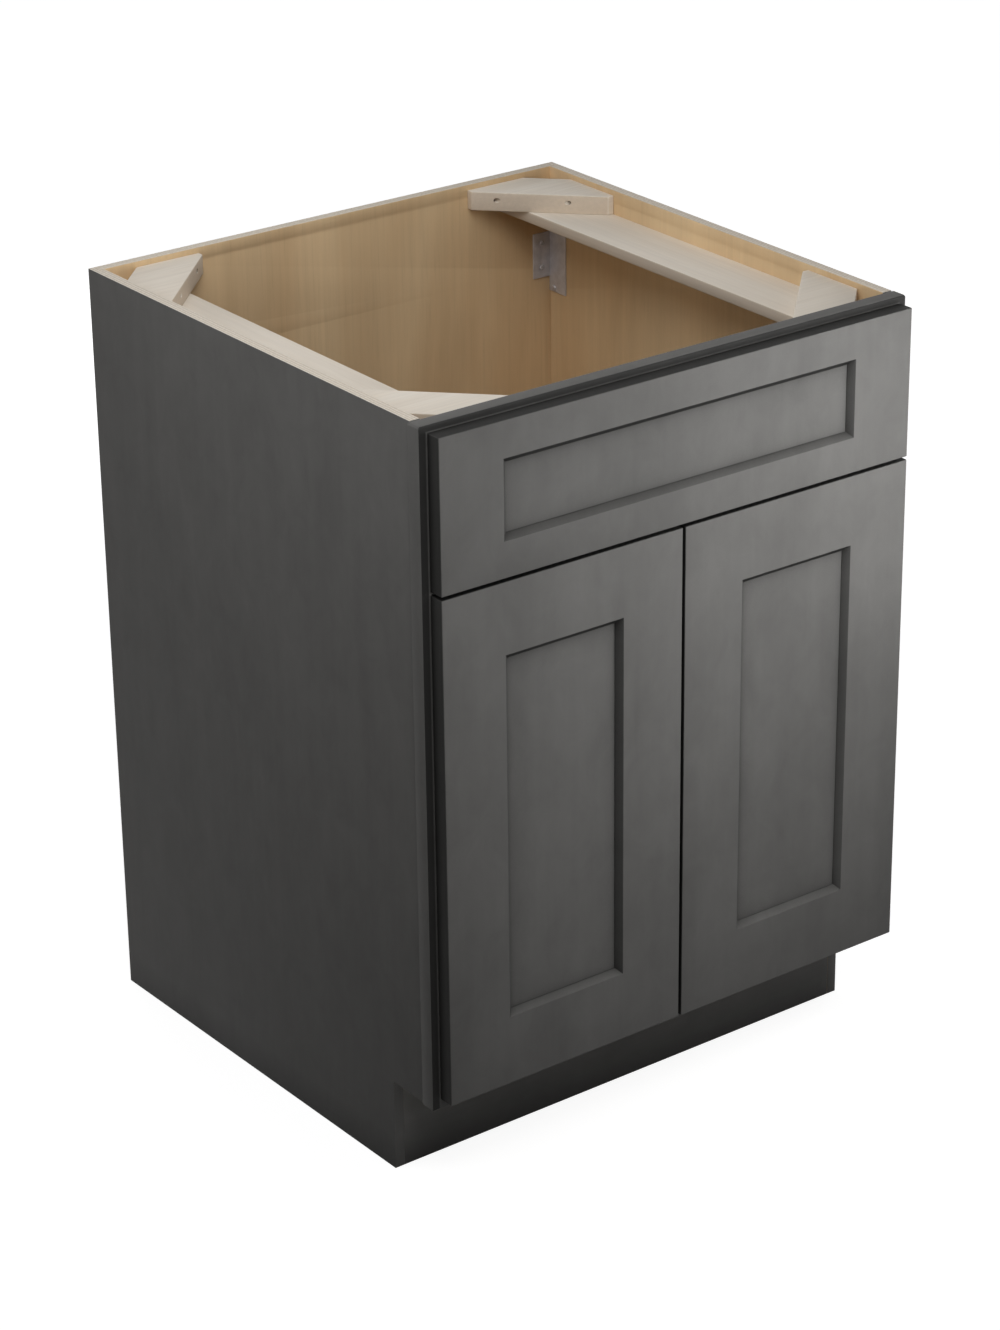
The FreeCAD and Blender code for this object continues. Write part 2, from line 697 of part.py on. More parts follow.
def makeArm(name, hand, middle):
    """A plate on the stile's edge with two cheeks that reach into the cup."""
    arm = makeBody(name)
    x = f"{hand} * "
    edge, face = "Places.stileEdge", "(Places.stileEdge + Sizes.armPlateSteel)"
    plate = rectangle(x + edge, "Sizes.armPlateNear", x + face, "Sizes.armPlateFar")
    addPad(arm, makeSketch(arm, "XY_Plane", [plate]), "Sizes.armPlateLength", midplane=True)
    eye = "Sizes.eyeRadius"
    outerX, innerX = "Sizes.outerArmPinAcross", "Sizes.innerArmPinAcross"
    cheek = [
        (x + edge, "Sizes.armPlateNear"),
        (f"{x}({innerX} - {eye})", "-Sizes.innerArmPinAhead"),
        (f"{x}({innerX} + {eye})", "-Sizes.innerArmPinAhead"),
        (f"{x}({outerX} + {eye})", "Sizes.outerArmPinBehind"),
        (f"{x}({outerX} + {eye})", "Sizes.armPlateFar - Sizes.armPlateNear"),
        (x + face, "Sizes.armPlateFar"),
        (x + edge, "Sizes.armPlateFar"),
    ]
    addPad(arm, makeSketch(arm, "XY_Plane", [cheek]), "2 * Places.armHalf", midplane=True)
    nose = makeSketch(arm, "XY_Plane", [roundOutline(x + innerX, "-Sizes.innerArmPinAhead", eye, roundSides)])
    addPad(arm, nose, "2 * Places.armHalf", midplane=True)
    far = f"({outerX} + Sizes.overrun)"
    between = [
        (x + face, "Sizes.overrun"),
        (x + face, "Sizes.armPlateNear"),
        ("0", "Sizes.armPlateNear"),
        ("0", "-Sizes.overrun"),
        (x + far, "-Sizes.overrun"),
        (x + far, "Sizes.overrun"),
    ]
    addPocket(arm, makeSketch(arm, "XY_Plane", [between]), "Sizes.armCheekGap")
    put(arm, hingeX(hand, "0"), "Places.frameFront", middle)
    return arm


def makeArmPins(name, hand, middle):
    length = "(Places.armHalf + Sizes.pinEnd)"
    pins = [upright(f"{name}_outer", hand, "Sizes.outerArmPinAcross", "Sizes.outerArmPinBehind", middle,
                    "Sizes.pinRadius", f"2 * {length}", smallSides)]
    for end in (-1, 1):
        centre = f"{middle} + {end} * ({length} + Places.innerLinkNear) / 2"
        pins.append(upright(f"{name}_inner", hand, "Sizes.innerArmPinAcross", "-Sizes.innerArmPinAhead",
                            centre, "Sizes.pinRadius", f"{length} - Places.innerLinkNear", smallSides))
    return pins


def makeOuterLink(name, hand, middle):
    """A curved strap with an eye at each end, between the arm's cheeks."""
    width, half = "Sizes.outerLinkWidth", "Sizes.outerLinkSteel / 2"
    sweep = "2 * atan2(Places.linkChord / 2; Places.linkSag)"
    middleTurn = "atan2(-Places.linkRun; Places.linkRise)"
    if hand < 0:
        middleTurn = f"180 deg - {middleTurn}"
    rings = []
    for radius in (f"Places.linkRadius + {half}", f"Places.linkRadius - {half}"):
        ring = upright(f"{name}_ring", hand, "Places.linkCentreAcross", "Places.linkCentreBehind", middle,
                       radius, width)
        ring.setExpression("Angle", sweep)
        ring.setExpression("Placement.Rotation.Angle", f"{middleTurn} - ({sweep}) / 2")
        rings.append(ring)
    strap = cutBy(f"{name}_strap", rings[0], rings[1:])
    ends = (("Sizes.outerArmPinAcross", "Sizes.outerArmPinBehind"),
            ("Sizes.outerCupPinAcross", "-Sizes.outerCupPinAhead"))
    eyes = [upright(f"{name}_eye", hand, *end, middle, "Sizes.eyeRadius", width, roundSides) for end in ends]
    holes = [upright(f"{name}_hole", hand, *end, middle, "Places.pinHole", width) for end in ends]
    return cutBy(name, fuse(f"{name}_whole", [strap, *eyes]), holes)


def makeInnerLink(name, hand, middle):
    """A pair of straight plates outside the outer link. Their cup eyes have room for the pin's path."""
    plates = []
    armEnd = (f"{hand} * Sizes.innerArmPinAcross", "-Sizes.innerArmPinAhead")
    cupEnd = (f"{hand} * Sizes.innerEyeAcross", "-Sizes.innerEyeAhead")
    half = "Sizes.innerLinkHeight / 2"
    strip = [(x, f"{y} {side} {half}") for (x, y), side in zip((armEnd, cupEnd, cupEnd, armEnd), "--++")]
    eyes = [roundOutline(*armEnd, "Sizes.eyeRadius", roundSides),
            roundOutline(*cupEnd, "Sizes.innerEyeRadius", roundSides)]
    hole = (*armEnd, "Places.pinHole")
    room = roundOutline(*cupEnd, "Sizes.innerEyeHole", roundSides)
    for end in (-1, 1):
        plate = makeBody(f"{name}_plate")
        for outline in (strip, *eyes):
            addPad(plate, makeSketch(plate, "XY_Plane", [outline]), "Sizes.innerLinkSteel", midplane=True)
        addPocket(plate, makeSketch(plate, "XY_Plane", [room], [hole]), "Sizes.innerLinkSteel + Sizes.overrun")
        put(plate, hingeX(hand, "0"), "Places.frameFront",
            f"{middle} + {end} * (Places.innerLinkNear + Sizes.innerLinkSteel / 2)")
        plates.append(plate)
    return plates


def makeHinges():
    """Two hinges for each door. Returns the cuts that they need in the doors and in the stiles."""
    armPins, armScrews, doorCuts = [], [], {}
    for door, hand in (("left", 1), ("right", -1)):
        outerLinks, innerLinks, cupPins, cupScrews, bores = [], [], [], [], []
        for place, middle in (("lower", "Places.lowerHinge"), ("upper", "Places.upperHinge")):
            name = f"{door}_{place}_hinge"
            pins = makeArmPins(f"{name}_arm_pin", hand, middle)
            screws = []
            for end in (-1, 1):
                spot = (hingeX(hand, "(Places.stileEdge + Sizes.armPlateSteel)"),
                        "Places.frameFront + (Sizes.armPlateNear + Sizes.armPlateFar) / 2",
                        f"{middle} + {end} * Sizes.armScrewPitch / 2")
                screws.append(makeScrew(f"{name}_arm_screw", spot, "-x" if hand > 0 else "+x", "armScrew"))
            arm = makeArm(f"{name}_arm_blank", hand, middle)
            keep(cutBy(f"{name}_arm_drilled", arm, pins + screws), f"{name}_arm")
            armPins += pins
            armScrews += screws
            pins = makeCupPins(f"{name}_cup_pin", hand, middle)
            screws = []
            for end in (-1, 1):
                spot = (hingeX(hand, "(Sizes.cupInset + Sizes.cupScrewOffset)"),
                        "Places.frontBack + Sizes.wingSteel", f"{middle} + {end} * Sizes.cupScrewPitch / 2")
                screws.append(makeScrew(f"{name}_cup_screw", spot, "-y", "cupScrew", flush=True))
            cup, wall, hollow = makeCup(f"{name}_cup_blank", hand, middle)
            keep(cutBy(f"{name}_cup_drilled", cup, [hollow, *pins, *screws]), f"{name}_cup")
            bores.append(wall)
            cupPins += pins
            cupScrews += screws
            outerLinks.append(makeOuterLink(f"{name}_outer_link", hand, middle))
            innerLinks += makeInnerLink(f"{name}_inner_link", hand, middle)
        group(f"{door}_hinge_outer_links", outerLinks)
        group(f"{door}_hinge_inner_links", innerLinks)
        group(f"{door}_hinge_cup_pins", cupPins)
        group(f"{door}_hinge_cup_screws", cupScrews)
        doorCuts[door] = bores + cupScrews
    group("hinge_arm_pins", armPins)
    return doorCuts, group("hinge_arm_screws", armScrews)


def makeCase(screws):
    floor = keep(makeFloor(), "floor_panel")
    keep(makeToeBoard(), "toe_kick_board")
    backBoard = makeBack()
    keep(cutBy("back_panel_drilled", backBoard, screws), "back_panel")
    for name, left in (("left_side_panel", "-Places.boxHalf"), ("right_side_panel", "Places.boxInside")):
        blank = makeSidePanel(f"{name}_blank", left)
        keep(cutBy(f"{name}_grooved", blank, [floor, backBoard, *screws]), name)
    keep(makeStretcher("left_stretcher", "-Places.boxInside"), "left_stretcher")
    keep(makeStretcher("right_stretcher", "Places.boxInside - Sizes.stretcherWidth"), "right_stretcher")


def checkPieces():
    for item in doc.Objects:
        if "Invalid" in item.State or "Error" in item.State:
            raise RuntimeError(f"{item.Name} failed: {item.State}")
    for item in nodes:
        if item.Shape.isNull() or not item.Shape.isValid():
            raise RuntimeError(f"{item.Label} has no valid shape")


def writePieces():
    os.makedirs("parts", exist_ok=True)
    for item in nodes:
        item.Shape.exportStep(f"parts/{item.Label}.step")
        print(item.Label, len(item.Shape.Solids), round(item.Shape.Volume))


fillSheet()
blockScrews = makeCornerBlocks()
bracketScrews = makeBrackets()
makeCase([blockScrews, bracketScrews])
doorCuts, armScrews = makeHinges()
makeFrame([blockScrews, armScrews])
clipScrews = makeClips()
makeFronts(doorCuts, clipScrews)
makePads()
doc.recompute()
checkPieces()
writePieces()
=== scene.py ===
# Vanity cabinet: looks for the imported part. Metres, floor at 0, the doors face -Y.
import bpy
import bmesh
import json
from math import radians
from mathutils import Matrix, Vector


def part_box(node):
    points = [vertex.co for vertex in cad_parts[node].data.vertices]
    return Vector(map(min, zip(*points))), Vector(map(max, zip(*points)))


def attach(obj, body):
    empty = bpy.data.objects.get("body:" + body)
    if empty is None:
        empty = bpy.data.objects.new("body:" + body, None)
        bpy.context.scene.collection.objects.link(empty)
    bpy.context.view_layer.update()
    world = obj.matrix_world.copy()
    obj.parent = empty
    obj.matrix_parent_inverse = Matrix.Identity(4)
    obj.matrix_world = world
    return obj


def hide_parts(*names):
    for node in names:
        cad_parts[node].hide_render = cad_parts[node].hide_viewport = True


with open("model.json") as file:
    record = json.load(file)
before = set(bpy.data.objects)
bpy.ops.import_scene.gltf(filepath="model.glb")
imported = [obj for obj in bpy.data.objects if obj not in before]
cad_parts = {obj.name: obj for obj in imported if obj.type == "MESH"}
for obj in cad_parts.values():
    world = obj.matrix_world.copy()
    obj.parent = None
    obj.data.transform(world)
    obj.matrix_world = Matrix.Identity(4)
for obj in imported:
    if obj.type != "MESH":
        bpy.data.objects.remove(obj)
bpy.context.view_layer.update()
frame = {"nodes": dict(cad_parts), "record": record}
nodes = frame["nodes"]
bodies = frame["record"]["behaviour"]["bodies"]
scene = bpy.context.scene
print("stage: frame loaded,", len(nodes), "nodes")


# node helpers

def startMaterial(name):
    material = bpy.data.materials.new(name)
    material.use_nodes = True
    return material, material.node_tree


def plug(tree, value, socket):
    # a socket is linked, a number or colour is set
    if isinstance(value, bpy.types.NodeSocket):
        tree.links.new(value, socket)
    elif isinstance(value, tuple) and len(socket.default_value) == 4:
        socket.default_value = (*value, 1)
    else:
        socket.default_value = value


def add(tree, kind, inputs=None, **settings):
    # one node: settings are its own options, inputs go to its sockets
    node = tree.nodes.new(kind)
    for key, value in settings.items():
        setattr(node, key, value)
    for key, value in (inputs or {}).items():
        plug(tree, value, node.inputs[key])
    return node


def objectSpace(tree):
    return add(tree, "ShaderNodeTexCoord").outputs["Object"]


def objectPart(tree, axis):
    parts = add(tree, "ShaderNodeSeparateXYZ", {0: objectSpace(tree)}).outputs
    return parts["xyz".index(axis)]


def noise(tree, vector, scale, detail=3, rough=0.55, twist=0):
    values = {"Vector": vector, "Scale": scale, "Detail": detail, "Roughness": rough, "Distortion": twist}
    return add(tree, "ShaderNodeTexNoise", values).outputs["Fac"]


def grainNoise(tree, grain, along, shift=(0, 0, 0), **values):
    # noise drawn out along the board's grain
    scale = tuple(along if axis == grain else 1 for axis in "xyz")
    space = add(tree, "ShaderNodeMapping", {"Vector": objectSpace(tree), "Scale": scale, "Location": shift})
    return noise(tree, space.outputs["Vector"], **values)


def around(share):
    # the range that lies a share below and above 1
    return 1 - share, 1 + share


def spread(tree, value, low, high, fromLow=0.3, fromHigh=0.7):
    # the useful part of a value, moved to low ... high
    return add(tree, "ShaderNodeMapRange", {"Value": value, "From Min": fromLow, "From Max": fromHigh,
                                            "To Min": low, "To Max": high}).outputs["Result"]


def combine(tree, first, second, operation="MULTIPLY"):
    return add(tree, "ShaderNodeMath", {0: first, 1: second}, operation=operation).outputs["Value"]


def mixColours(tree, factor, first, second):
    return add(tree, "ShaderNodeMix", {0: factor, 6: first, 7: second}, data_type="RGBA").outputs[2]


def mixValues(tree, factor, first, second):
    return add(tree, "ShaderNodeMix", {0: factor, 2: first, 3: second}, data_type="FLOAT").outputs[0]


def shade(tree, colour, value):
    # a colour made lighter or darker by a value round 1
    return add(tree, "ShaderNodeHueSaturation", {"Color": colour, "Value": value}).outputs["Color"]


faceShare = 0.6  # how much of its normal a surface has along the axis that it faces


def normalParts(tree):
    normal = add(tree, "ShaderNodeTexCoord").outputs["Normal"]
    return add(tree, "ShaderNodeSeparateXYZ", {0: normal}).outputs


def facing(tree, axis, sign=0):
    # 1 where the surface faces along an axis, either way for sign 0
    part = normalParts(tree)["xyz".index(axis)]
    part = combine(tree, part, 0, "ABSOLUTE") if sign == 0 else combine(tree, part, sign)
    return combine(tree, part, faceShare, "GREATER_THAN")


def shadeWhere(tree, mask, share):
    # a share where the mask is 1, and 1 elsewhere
    return mixValues(tree, mask, 1.0, share)


# a layer is a surface's colour, roughness and height in metres

def mixLayers(tree, mask, under, over):
    return {"colour": mixColours(tree, mask, under["colour"], over["colour"]),
            "roughness": mixValues(tree, mask, under["roughness"], over["roughness"]),
            "height": mixValues(tree, mask, under["height"], over["height"])}


def finishSurface(tree, layer, edge, shine, metallic=0.0):
    # edge is the radius that corners seem to have
    shader = tree.nodes["Principled BSDF"]
    rounded = add(tree, "ShaderNodeBevel", {"Radius": edge}, samples=4).outputs["Normal"]
    bump = add(tree, "ShaderNodeBump", {"Height": layer["height"], "Distance": 1.0, "Strength": 1.0,
                                        "Normal": rounded}).outputs["Normal"]
    plug(tree, layer["colour"], shader.inputs["Base Color"])
    plug(tree, layer["roughness"], shader.inputs["Roughness"])
    plug(tree, bump, shader.inputs["Normal"])
    shader.inputs["Metallic"].default_value = metallic
    shader.inputs["Specular IOR Level"].default_value = shine


# paint: shares are how far the colour's value goes below and above 1, and heights are in metres

paint = {
    "colour": (0.168, 0.165, 0.159),
    "roughness": (0.46, 0.55),
    "shine": 0.03,
    "edge": 0.0006,
    "clouds": {"along": 0.45, "scale": 9, "detail": 4, "rough": 0.6},
    "cloudShare": 0.08,
    "blotches": {"along": 0.7, "scale": 24, "detail": 4, "rough": 0.65, "twist": 0.5},
    "blotchShare": 0.06,
    "streaks": {"along": 0.03, "scale": 55, "detail": 5, "rough": 0.6},
    "streakShare": 0.03,
    "streakHeight": 0.000012,
    "peel": {"along": 1, "scale": 900, "detail": 2},
    "peelHeight": 0.000006,
}


def paintLayer(tree, grain):
    clouds, blotches, streaks, peel = (grainNoise(tree, grain, **paint[key])
                                       for key in ("clouds", "blotches", "streaks", "peel"))
    value = combine(tree, spread(tree, clouds, *around(paint["cloudShare"])),
                    spread(tree, streaks, *around(paint["streakShare"])))
    value = combine(tree, value, spread(tree, blotches, *around(paint["blotchShare"])))
    height = combine(tree, combine(tree, streaks, paint["streakHeight"]),
                     combine(tree, peel, paint["peelHeight"]), "ADD")
    return {"colour": shade(tree, paint["colour"], value),
            "roughness": spread(tree, clouds, *paint["roughness"]),
            "height": height}


def painted(name, grain, paintedShadeOf=None):
    # paint on wood, made darker or lighter by the painted shade and light that the given function returns
    material, tree = startMaterial(name)
    layer = paintLayer(tree, grain)
    if paintedShadeOf:
        layer["colour"] = shade(tree, layer["colour"], paintedShadeOf(tree))
    finishSurface(tree, layer, paint["edge"], paint["shine"])
    return material


# the fronts: painted shade darkens their edges and bevels, and the line round each panel. Each share
# multiplies the colour, and sets in over a slant, the part of the normal that points sideways, down or up
frontPaintedShades = {
    "inside": 0.60,  # painted shade on the bevels beside the panel
    "insideSlant": (0.3, 0.6),
    "side": 0.50,  # painted shade on the outer edges at the sides
    "sideSlant": (0.8, 0.95),
    "under": 0.22,  # painted shade on what faces down
    "underSlant": (0.3, 0.6),
    "slope": (0.95, 0.68),  # painted shade on the bevel below the panel, low down and high up
    "slopeHeights": (0.15, 0.80),
    "slopeSlant": (0.3, 0.65),
    "top": 0.31,  # painted shade on the outer edges at the top
    "topSlant": (0.78, 0.95),
    "corner": 0.45,  # painted shade in the hollow line round the panel
    "cornerReach": 0.032,
    "cornerOpen": (0.72, 0.99),
}


def frontPaintedShade(tree):
    look = frontPaintedShades
    across, _, up = normalParts(tree)
    aside = combine(tree, across, 0, "ABSOLUTE")
    sides = combine(tree, spread(tree, aside, 1, look["inside"], *look["insideSlant"]),
                    spread(tree, aside, 1, look["side"], *look["sideSlant"]))
    under = spread(tree, combine(tree, up, -1), 1, look["under"], *look["underSlant"])
    bevel = spread(tree, objectPart(tree, "z"), *look["slope"], *look["slopeHeights"])
    slope = shadeWhere(tree, spread(tree, up, 0, 1, *look["slopeSlant"]), bevel)
    top = combine(tree, slope, spread(tree, up, 1, look["top"], *look["topSlant"]))
    # painted shade in the hollows, from ambient occlusion
    hollow = add(tree, "ShaderNodeAmbientOcclusion", {"Distance": look["cornerReach"]}, samples=8)
    corner = spread(tree, hollow.outputs["AO"], look["corner"], 1, *look["cornerOpen"])
    return combine(tree, combine(tree, sides, under), combine(tree, top, corner))


# painted shade near the floor, and painted light higher up on the toe board: the share left at the floor,
# the share above, and the height between
footPaintedShades = {
    "toe": (0.5, 2.1, 0.08),
    "side": (0.88, 1, 0.4),
    "floorLine": (0.62, 1, 0.04),
    "notch": 1.5,  # one share of painted light, for the edges of the toe notch, which face the front
}


def paintedFootShade(tree, place):
    low, high, reach = footPaintedShades[place]
    return spread(tree, objectPart(tree, "z"), low, high, 0, reach)


# painted shade at the floor and painted light at the top of the toe board
def toePaintedShadeAndLight(tree):
    return paintedFootShade(tree, "toe")


# painted shade on the sides' paint near the floor
def sidePaintedShade(tree):
    return combine(tree, paintedFootShade(tree, "side"), paintedFootShade(tree, "floorLine"))


# the face frame: painted shade along its top, and beside and above the fronts
framePaintedShades = {
    "band": 0.27,  # painted shade beyond the edges of the fronts
    "bandStart": 0.0005,  # how far inside their edges it sets in
    "bandEnd": 0.001,
    "rim": 0.82,  # painted shade along the top
}


def framePaintedShade(tree):
    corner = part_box("false_front_right_stile")[1]
    aside = combine(tree, objectPart(tree, "x"), 0, "ABSOLUTE")
    beside, above = (spread(tree, part, 1, framePaintedShades["band"], edge - framePaintedShades["bandStart"],
                            edge + framePaintedShades["bandEnd"])
                     for part, edge in ((aside, corner.x), (objectPart(tree, "z"), corner.z)))
    share = shadeWhere(tree, facing(tree, "y", -1), combine(tree, beside, above, "MINIMUM"))
    share = combine(tree, share, shadeWhere(tree, facing(tree, "z", 1), framePaintedShades["rim"]))
    # painted shade near the floor on the frame's sides
    return combine(tree, share, shadeWhere(tree, facing(tree, "x"), sidePaintedShade(tree)))


# wood

veneer = {
    "light": (0.78, 0.585, 0.355),
    "dark": (0.68, 0.48, 0.275),
    "roughness": (0.33, 0.46),
    "edge": 0.0004,
    "figure": {"along": 0.10, "scale": 7, "detail": 4, "rough": 0.6, "twist": 0.8},
    "figureRange": (0.35, 0.65),
    "clouds": {"along": 0.5, "scale": 9, "detail": 3, "rough": 0.5},
    "cloudShare": 0.07,
    "lines": {"along": 0.02, "scale": 130, "detail": 4, "rough": 0.6},
    "lineShares": (0.965, 1.025),
    "pores": {"along": 0.03, "scale": 600, "detail": 2},
    "poreRange": (0.25, 0.45),
    "poreShare": 0.06,
    "poreHeight": 0.00002,
}


def veneerLayer(tree, grain, shift):
    figure, clouds, lines, pores = (grainNoise(tree, grain, shift=shift, **veneer[key])
                                    for key in ("figure", "clouds", "lines", "pores"))
    darker = spread(tree, figure, 0, 1, *veneer["figureRange"])
    colour = mixColours(tree, darker, veneer["light"], veneer["dark"])
    value = combine(tree, spread(tree, lines, *veneer["lineShares"]),
                    spread(tree, pores, 1 - veneer["poreShare"], 1, *veneer["poreRange"]))
    value = combine(tree, value, spread(tree, clouds, *around(veneer["cloudShare"])))
    return {"colour": shade(tree, colour, value),
            "roughness": spread(tree, lines, *veneer["roughness"]),
            "height": combine(tree, pores, veneer["poreHeight"])}


plies = {
    "light": (0.82, 0.76, 0.67),
    "dark": (0.72, 0.63, 0.52),
    "roughness": 0.8,
    "count": 7,
    "thickness": 0.0127,
    "wander": {"scale": 60, "detail": 3},
    "wanderReach": 0.00025,
    "fibres": {"scale": 420, "detail": 4, "rough": 0.7},
    "fibreShares": (0.82, 1.08),
    "fibreHeight": 0.00006,
}


def plyEdgeLayer(tree, thick, start):
    # stripes across the thickness, the plies whose ends show being darker
    coords, reach = objectSpace(tree), plies["wanderReach"]
    wander = spread(tree, noise(tree, coords, **plies["wander"]), -reach, reach)
    place = combine(tree, combine(tree, objectPart(tree, thick), wander, "ADD"), -start, "ADD")
    pairs = combine(tree, place, plies["count"] / plies["thickness"] / 2)
    stripe = combine(tree, combine(tree, pairs, 0, "FRACT"), 0.5, "GREATER_THAN")
    fibres = noise(tree, coords, **plies["fibres"])
    colour = mixColours(tree, stripe, plies["light"], plies["dark"])
    return {"colour": shade(tree, colour, spread(tree, fibres, *plies["fibreShares"])),
            "roughness": plies["roughness"],
            "height": combine(tree, fibres, plies["fibreHeight"])}


def plywood(name, thick, grain, start, paintedSide=0, shift=(0, 0, 0)):
    material, tree = startMaterial(name)
    layer = mixLayers(tree, facing(tree, thick), plyEdgeLayer(tree, thick, start),
                      veneerLayer(tree, grain, shift))
    if paintedSide:
        # paint outside, and on the edges of the toe notch, which face the front
        notch = facing(tree, "y", -1)
        mask = combine(tree, facing(tree, thick, paintedSide), notch, "MAXIMUM")
        # painted shade near the floor, and painted light on the edges of the toe notch
        share = combine(tree, sidePaintedShade(tree), shadeWhere(tree, notch, footPaintedShades["notch"]))
        coat = paintLayer(tree, grain)
        coat["colour"] = shade(tree, coat["colour"], share)
        layer = mixLayers(tree, mask, layer, coat)
    finishSurface(tree, layer, veneer["edge"], paint["shine"])
    return material


rawWood = {
    "light": (0.81, 0.745, 0.655),
    "dark": (0.73, 0.65, 0.55),
    "endGrain": (0.66, 0.56, 0.45),
    "darkSideColour": (0.57, 0.49, 0.40),
    "roughness": (0.62, 0.8),
    "shine": 0.3,
    "edge": 0.0008,
    "figure": {"along": 0.08, "scale": 24, "detail": 4, "rough": 0.6, "twist": 1.2},
    "figureShares": (0, 0.8),
    "figureRange": (0.35, 0.7),
    "lines": {"along": 0.02, "scale": 260, "detail": 4, "rough": 0.65},
    "lineShares": (0.94, 1.04),
    "lineHeight": 0.00005,
}


def bareWood(name, grain, shift=(0, 0, 0), darkSide=None):
    material, tree = startMaterial(name)
    figure = grainNoise(tree, grain, shift=shift, **rawWood["figure"])
    lines = grainNoise(tree, grain, shift=shift, **rawWood["lines"])
    darker = spread(tree, figure, *rawWood["figureShares"], *rawWood["figureRange"])
    colour = mixColours(tree, darker, rawWood["light"], rawWood["dark"])
    colour = mixColours(tree, facing(tree, grain), colour, rawWood["endGrain"])
    if darkSide:
        # the faces that point along darkSide get a darker colour
        colour = mixColours(tree, facing(tree, darkSide), colour, rawWood["darkSideColour"])
    layer = {"colour": shade(tree, colour, spread(tree, lines, *rawWood["lineShares"])),
             "roughness": spread(tree, lines, *rawWood["roughness"]),
             "height": combine(tree, lines, rawWood["lineHeight"])}
    finishSurface(tree, layer, rawWood["edge"], rawWood["shine"])
    return material


# metal and rubber

metals = {
    "zincSteel": {"colour": (0.64, 0.62, 0.64), "roughness": (0.39, 0.55), "metallic": 0.25},
    "nickelSteel": {"colour": (0.66, 0.65, 0.62), "roughness": (0.19, 0.35), "metallic": 1},
}

plating = {
    "shine": 0.5,
    "edge": 0.0003,
    "clouds": {"along": 1, "scale": 120, "detail": 3},
    "cloudShares": (0.88, 1.08),
    "brush": {"along": 0.05, "scale": 1500, "detail": 3},
    "brushHeight": 0.000004,
}


def plated(name):
    metal = metals[name]
    material, tree = startMaterial(name)
    clouds = grainNoise(tree, "z", **plating["clouds"])
    brush = grainNoise(tree, "z", **plating["brush"])
    layer = {"colour": shade(tree, metal["colour"], spread(tree, clouds, *plating["cloudShares"])),
             "roughness": spread(tree, brush, *metal["roughness"]),
             "height": combine(tree, brush, plating["brushHeight"])}
    finishSurface(tree, layer, plating["edge"], plating["shine"], metal["metallic"])
    return material


rubberLook = {
    "colour": (0.62, 0.62, 0.60),
    "roughness": (0.3, 0.45),
    "shine": 0.3,
    "edge": 0.0004,
    "clear": 0.35,
    "specks": {"along": 1, "scale": 700, "detail": 2},
    "speckShares": (0.95, 1.03),
    "speckHeight": 0.00001,
}


def softRubber(name):
    material, tree = startMaterial(name)
    specks = grainNoise(tree, "z", **rubberLook["specks"])
    layer = {"colour": shade(tree, rubberLook["colour"], spread(tree, specks, *rubberLook["speckShares"])),
             "roughness": spread(tree, specks, *rubberLook["roughness"]),
             "height": combine(tree, specks, rubberLook["speckHeight"])}
    finishSurface(tree, layer, rubberLook["edge"], rubberLook["shine"])
    tree.nodes["Principled BSDF"].inputs["Transmission Weight"].default_value = rubberLook["clear"]
    return material


paintUpright = painted("greyPaintUpright", "z")
paintAcross = painted("greyPaintAcross", "x")
# the toe board, the fronts and the face frame carry painted shade, and the toe board painted light as well
paintFoot = painted("greyPaintFoot", "x", toePaintedShadeAndLight)
paintFront = painted("greyPaintFront", "z", frontPaintedShade)
paintFrame = painted("greyPaintFrame", "z", framePaintedShade)
zinc = plated("zincSteel")
nickel = plated("nickelSteel")
rubber = softRubber("clearRubber")
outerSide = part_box("left_side_panel")[0].x
boards = {
    "left_side_panel": plywood("leftSidePly", "x", "z", outerSide, paintedSide=-1),
    "right_side_panel": plywood("rightSidePly", "x", "z", -outerSide, paintedSide=1, shift=(3, 1, 2)),
    "back_panel": plywood("backPly", "y", "z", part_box("back_panel")[1].y, shift=(7, 2, 5)),
    "floor_panel": plywood("floorPly", "z", "x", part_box("floor_panel")[1].z, shift=(1, 8, 3)),
}
stretcherWood = bareWood("stretcherWood", "y", darkSide="x")
blockWood = bareWood("blockWood", "x", (2, 5, 1))


def dressNode(name):
    if name in boards:
        return boards[name]
    if name.endswith("_stretcher"):
        return stretcherWood
    if "screws" in name or "bracket" in name or "clips" in name:
        return nickel if "hinge" in name else zinc
    if name.startswith("corner_block"):
        return blockWood
    if "bumpers" in name or "pads" in name:
        return rubber
    if "hinge" in name and "stile" not in name:
        return nickel
    if "door" in name or "false_front" in name:
        return paintFront
    if name == "toe_kick_board":
        return paintFoot
    return paintAcross if name.endswith("rail") else paintUpright


for name, node in nodes.items():
    node.data.materials.clear()
    node.data.materials.append(dressNode(name))
print("stage: materials on the nodes")


# shapes

near = {
    "point": 0.000001,  # new points nearer than this are one
    "cadPoint": 0.000002,
    "length": 0.0001,  # lengths that differ by less than this count as equal
    "angle": 0.5,  # degrees, below which two faces count as one
}
smoothBelow = 30  # degrees


def newObject(name, data):
    item = bpy.data.objects.new(name, data)
    scene.collection.objects.link(item)
    return item


def asMesh(name, shape):
    mesh = bpy.data.meshes.new(name)
    shape.to_mesh(mesh)
    shape.free()
    return mesh


def finishPiece(name, shape, material, replaced):
    # a bmesh becomes a piece that rides on the body of the nodes it stands for
    bmesh.ops.recalc_face_normals(shape, faces=shape.faces)
    mesh = asMesh(name, shape)
    mesh.polygons.foreach_set("use_smooth", [True] * len(mesh.polygons))
    mesh.set_sharp_from_angle(angle=radians(smoothBelow))
    mesh.materials.append(material)
    piece = newObject(name, mesh)
    owner = next(body for body, held in bodies.items() if replaced[0] in held)
    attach(piece, owner)
    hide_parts(*replaced)


